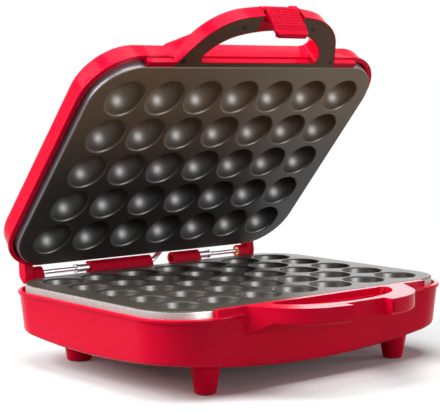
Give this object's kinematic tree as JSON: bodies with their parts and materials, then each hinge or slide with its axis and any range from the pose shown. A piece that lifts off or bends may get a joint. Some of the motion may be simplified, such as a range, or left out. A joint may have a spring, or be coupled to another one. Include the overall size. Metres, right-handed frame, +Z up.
{
  "type": "cake pop maker",
  "caption": "Countertop electric maker with a hinged lid and two pocketed plates that bake small round cakes, with loop handles and a front latch.",
  "frame": {"origin": "middle of the footprint of the whole maker as it stands open, at table height", "axes": "+X to the right across the front, -Y the front with the handles, +Z up"},
  "size_m": [0.3054, 0.2888, 0.2849],
  "materials": {
    "red_plastic": "gloss",
    "dark_plastic": "satin",
    "coated_plate": "satin",
    "rubber": "matte",
    "black_plastic": "matte",
    "white_plastic": "matte",
    "steel": "satin",
    "sheet_steel": "satin",
    "dark_steel": "satin",
    "element_steel": "matte",
    "lead_sleeving": "matte",
    "ceramic": "matte",
    "brass": "satin",
    "lens_red": "gloss",
    "lens_green": "gloss",
    "lamp_glass": "gloss"
  },
  "bodies": {
    "base": {"base_casing": "red_plastic", "foot_pads": "rubber", "cord_gland": "black_plastic", "terminal_block": "white_plastic", "thermostat": "white_plastic", "thermal_fuse": "steel", "hinge_bush_left": "brass", "hinge_bush_right": "brass", "lower_plate": "coated_plate", "lower_leads": "lead_sleeving", "lower_element": "element_steel", "lower_element_beads": "ceramic", "lower_element_props": "steel", "lower_carrier": "sheet_steel", "lower_carrier_screws": "steel", "lower_plate_retainers": "steel"},
    "lid": {"lid_casing": "red_plastic", "handle_cover": "dark_plastic", "handle_cover_screws": "dark_steel", "power_lens": "lens_red", "ready_lens": "lens_green", "power_lamp": "lamp_glass", "ready_lamp": "lamp_glass", "lead_sleeve": "steel", "hinge_pin_left": "steel", "hinge_pin_right": "steel", "latch_pin": "steel", "upper_plate": "coated_plate", "upper_element": "element_steel", "upper_element_beads": "ceramic", "upper_element_props": "steel", "upper_carrier": "sheet_steel", "upper_carrier_screws": "steel", "upper_plate_retainers": "steel"},
    "latch": {"latch": "red_plastic"}
  },
  "joints": [
    {"name": "lid_hinge", "type": "hinge", "parent": "base", "child": "lid", "pos_m": [0, 0.13261, 0.0679], "axis": [-1, 0, 0], "range_deg": [-49, 46]},
    {"name": "latch_pivot", "type": "hinge", "parent": "lid", "child": "latch", "pos_m": [0, -0.04225, 0.27988], "axis": [-1, 0, 0], "range_deg": [-5, 25]}
  ]
}
